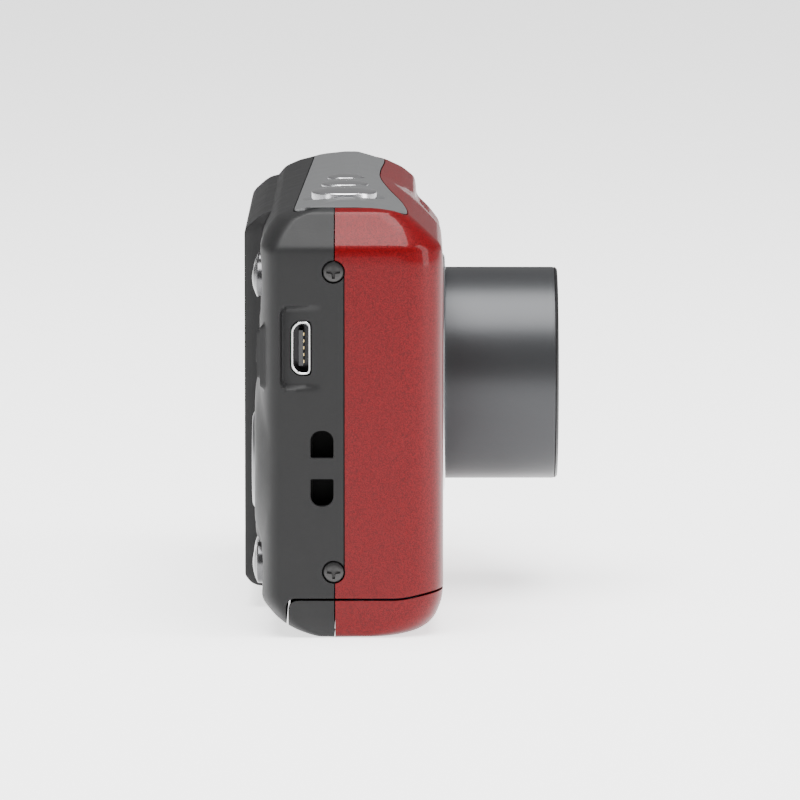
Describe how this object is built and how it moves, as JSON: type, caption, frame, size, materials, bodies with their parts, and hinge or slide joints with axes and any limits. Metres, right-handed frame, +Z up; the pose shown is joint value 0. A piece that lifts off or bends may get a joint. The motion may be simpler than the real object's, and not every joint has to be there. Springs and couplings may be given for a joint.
{
  "type": "compact digital camera",
  "caption": "Pocket camera with painted front, matte rear cover and screen, extending lens barrel, domed keys and a sliding battery door.",
  "frame": {"origin": "middle of the flat base, where the camera stands", "axes": "+Z up, -Y the way the lens points, +X from the grip end to the far end"},
  "size_m": [0.093, 0.045, 0.0613],
  "materials": {
    "red_paint": "metallic flake gloss paint",
    "charcoal_plastic": "fine matte mould texture",
    "top_metal": "satin",
    "barrel_metal": "satin anodised gunmetal",
    "key_chrome": "satin plated",
    "black_plastic": "matte",
    "clear_glass": "polished",
    "dark_glass": "polished dark window",
    "green_board": "solder mask",
    "bare_steel": "stamped",
    "contact_brass": "plain",
    "cell_wrap": "printed wrap, no lettering"
  },
  "bodies": {
    "body": {"front_cover": "red_paint", "rear_cover": "charcoal_plastic", "top_plate": "top_metal", "lens_bezel": "key_chrome", "flash_reflector": "key_chrome", "side_screw_grip_low": "black_plastic", "side_screw_grip_top": "black_plastic", "side_screw_far_low": "black_plastic", "side_screw_far_top": "black_plastic", "base_screw_1": "black_plastic", "lens_housing": "black_plastic", "usb_tongue": "black_plastic", "memory_card": "black_plastic", "battery_case": "black_plastic", "strap_pocket": "black_plastic", "flash_capacitor": "black_plastic", "flash_window": "clear_glass", "focus_lamp_window": "clear_glass", "flash_tube": "clear_glass", "display_window": "dark_glass", "image_sensor": "dark_glass", "sensor_board": "green_board", "main_board": "green_board", "top_switch_board": "green_board", "lens_base_plate": "bare_steel", "display_module": "bare_steel", "usb_socket": "bare_steel", "card_slot": "bare_steel", "tripod_bush": "bare_steel", "inner_frame": "bare_steel", "key_board": "contact_brass", "top_contact_board": "contact_brass", "battery_1": "cell_wrap", "battery_2": "cell_wrap"},
    "cam_ring": {"cam_ring": "bare_steel"},
    "outer_barrel": {"outer_barrel": "barrel_metal", "barrel_trim_ring": "black_plastic"},
    "inner_barrel": {"inner_barrel": "black_plastic", "lens_cap_plate": "black_plastic", "front_lens": "clear_glass", "second_lens": "clear_glass"},
    "barrier_blade_upper": {"barrier_blade_upper": "barrel_metal"},
    "barrier_blade_lower": {"barrier_blade_lower": "barrel_metal"},
    "focus_carrier": {"focus_carrier": "black_plastic", "focus_lens": "clear_glass"},
    "shutter_button": {"shutter_button": "key_chrome"},
    "power_button": {"power_button": "key_chrome"},
    "mode_button": {"mode_button": "key_chrome"},
    "zoom_wide_button": {"zoom_wide_button": "key_chrome"},
    "zoom_tele_button": {"zoom_tele_button": "key_chrome"},
    "menu_button": {"menu_button": "key_chrome"},
    "playback_button": {"playback_button": "key_chrome"},
    "nav_carrier": {"nav_carrier": "black_plastic"},
    "nav_ring": {"nav_ring": "barrel_metal"},
    "ok_button": {"ok_button": "key_chrome"},
    "door_bracket": {"door_hinge_bracket": "bare_steel", "door_hinge_pin": "bare_steel"},
    "battery_door": {"battery_door": "charcoal_plastic", "battery_door_trim": "red_paint", "door_contact_strip": "contact_brass"}
  },
  "joints": [
    {"name": "barrel_retract", "type": "slide", "parent": "body", "child": "outer_barrel", "axis": [0, 1, 0], "range_m": [0, 0.014]},
    {"name": "cam_turn", "type": "hinge", "parent": "body", "child": "cam_ring", "pos_m": [0.006, 0, 0.0312], "axis": [0, 1, 0], "range_deg": [0, 85.2]},
    {"name": "zoom_extend", "type": "slide", "parent": "outer_barrel", "child": "inner_barrel", "axis": [0, -1, 0], "range_m": [0, 0.0065]},
    {"name": "upper_blade_shut", "type": "slide", "parent": "inner_barrel", "child": "barrier_blade_upper", "axis": [0, 0, -1], "range_m": [0, 0.00451]},
    {"name": "lower_blade_shut", "type": "slide", "parent": "inner_barrel", "child": "barrier_blade_lower", "axis": [0, 0, 1], "range_m": [0, 0.00451]},
    {"name": "focus_travel", "type": "slide", "parent": "body", "child": "focus_carrier", "axis": [0, -1, 0], "range_m": [0, 0.0015]},
    {"name": "shutter_press", "type": "slide", "parent": "body", "child": "shutter_button", "axis": [0, 0, -1], "range_m": [0, 0.0006], "stiffness_N_per_m": 400},
    {"name": "power_press", "type": "slide", "parent": "body", "child": "power_button", "axis": [0, 0, -1], "range_m": [0, 0.0003], "stiffness_N_per_m": 400},
    {"name": "mode_press", "type": "slide", "parent": "body", "child": "mode_button", "axis": [0, 0, -1], "range_m": [0, 0.0003], "stiffness_N_per_m": 400},
    {"name": "zoom_wide_press", "type": "slide", "parent": "body", "child": "zoom_wide_button", "axis": [0, -1, 0], "range_m": [0, 0.0003], "stiffness_N_per_m": 400},
    {"name": "zoom_tele_press", "type": "slide", "parent": "body", "child": "zoom_tele_button", "axis": [0, -1, 0], "range_m": [0, 0.0003], "stiffness_N_per_m": 400},
    {"name": "menu_press", "type": "slide", "parent": "body", "child": "menu_button", "axis": [0, -1, 0], "range_m": [0, 0.0003], "stiffness_N_per_m": 400},
    {"name": "playback_press", "type": "slide", "parent": "body", "child": "playback_button", "axis": [0, -1, 0], "range_m": [0, 0.0003], "stiffness_N_per_m": 400},
    {"name": "ok_press", "type": "slide", "parent": "body", "child": "ok_button", "axis": [0, -1, 0], "range_m": [0, 0.0003], "stiffness_N_per_m": 400},
    {"name": "nav_tilt_up_down", "type": "hinge", "parent": "body", "child": "nav_carrier", "pos_m": [-0.0312, 0.0094, 0.0232], "axis": [1, 0, 0], "range_deg": [-2.2, 2.2], "stiffness_Nm_per_rad": 0.05},
    {"name": "nav_tilt_left_right", "type": "hinge", "parent": "nav_carrier", "child": "nav_ring", "pos_m": [-0.0312, 0.01, 0.0232], "axis": [0, 0, 1], "range_deg": [-2.2, 2.2], "stiffness_Nm_per_rad": 0.05},
    {"name": "door_slide", "type": "slide", "parent": "body", "child": "door_bracket", "axis": [-1, 0, 0], "range_m": [0, 0.003]},
    {"name": "door_swing", "type": "hinge", "parent": "door_bracket", "child": "battery_door", "pos_m": [-0.01365, 0, 0.0017], "axis": [0, -1, 0], "range_deg": [0, 95]}
  ],
  "couplings": [
    {"joint": "cam_turn", "follows": "barrel_retract", "rad_per_m": 105.97},
    {"joint": "upper_blade_shut", "follows": "barrel_retract", "ratio": 0.32143},
    {"joint": "lower_blade_shut", "follows": "barrel_retract", "ratio": 0.32143}
  ]
}
